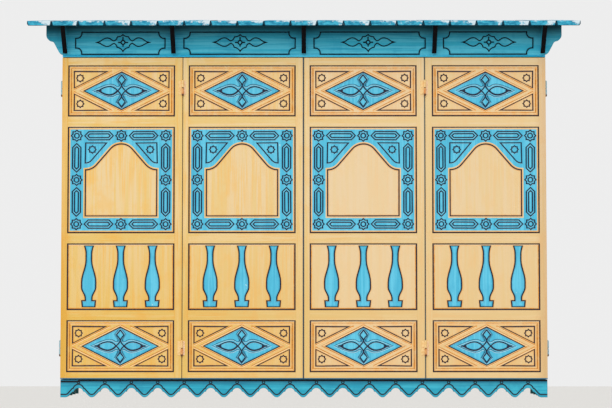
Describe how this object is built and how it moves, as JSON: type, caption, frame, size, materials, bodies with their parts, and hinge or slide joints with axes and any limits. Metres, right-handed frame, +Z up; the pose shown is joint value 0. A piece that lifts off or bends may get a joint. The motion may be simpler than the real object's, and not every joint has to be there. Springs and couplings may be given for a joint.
{
  "type": "mashrabiya window box",
  "caption": "Wall-hung wooden window box with carved, painted folding shutters under a small boarded roof, with a carved frieze and a scalloped valance.",
  "frame": {"origin": "middle of the wall face of the sill rail, on the wall plane", "axes": "+X along the wall, +Y into the wall, +Z up; the shutters face -Y"},
  "size_m": [2.2, 0.5931, 1.5883],
  "materials": {
    "yellow_paint": "worn satin paint",
    "panel_paint": "two-tone worn satin paint",
    "blue_paint": "worn satin paint",
    "roof_paint": "weathered paint",
    "inner_wood": "aged bare wood",
    "black_iron": "matt",
    "hinge_cream": "worn paint",
    "hinge_blue": "worn paint"
  },
  "bodies": {
    "root": {"wall_sill_rail": "inner_wood", "wall_head_rail": "inner_wood", "wall_posts": "inner_wood", "front_posts": "inner_wood", "front_sill_rail": "inner_wood", "front_head_rail": "inner_wood", "side_sill_rails": "inner_wood", "side_head_rails": "inner_wood", "floor_boards": "inner_wood", "roof_joists": "inner_wood", "left_side_frame": "yellow_paint", "right_side_frame": "yellow_paint", "left_side_panels": "panel_paint", "right_side_panels": "panel_paint", "fold_hinges": "hinge_cream", "side_hinges": "hinge_blue", "frieze_board": "blue_paint", "left_side_frieze": "blue_paint", "right_side_frieze": "blue_paint", "roof_deck": "roof_paint", "canopy_brackets": "blue_paint", "bracket_straps": "black_iron", "front_valance": "blue_paint", "left_valance": "blue_paint", "right_valance": "blue_paint", "leaf_1_frame": "yellow_paint", "leaf_1_bottom_panel": "panel_paint", "leaf_1_baluster_panel": "panel_paint", "leaf_1_arch_panel": "panel_paint", "leaf_1_top_panel": "panel_paint", "leaf_2_frame": "yellow_paint", "leaf_2_bottom_panel": "panel_paint", "leaf_2_baluster_panel": "panel_paint", "leaf_2_arch_panel": "panel_paint", "leaf_2_top_panel": "panel_paint", "leaf_3_frame": "yellow_paint", "leaf_3_bottom_panel": "panel_paint", "leaf_3_baluster_panel": "panel_paint", "leaf_3_arch_panel": "panel_paint", "leaf_3_top_panel": "panel_paint", "leaf_4_frame": "yellow_paint", "leaf_4_bottom_panel": "panel_paint", "leaf_4_baluster_panel": "panel_paint", "leaf_4_arch_panel": "panel_paint", "leaf_4_top_panel": "panel_paint"}
  },
  "joints": []
}
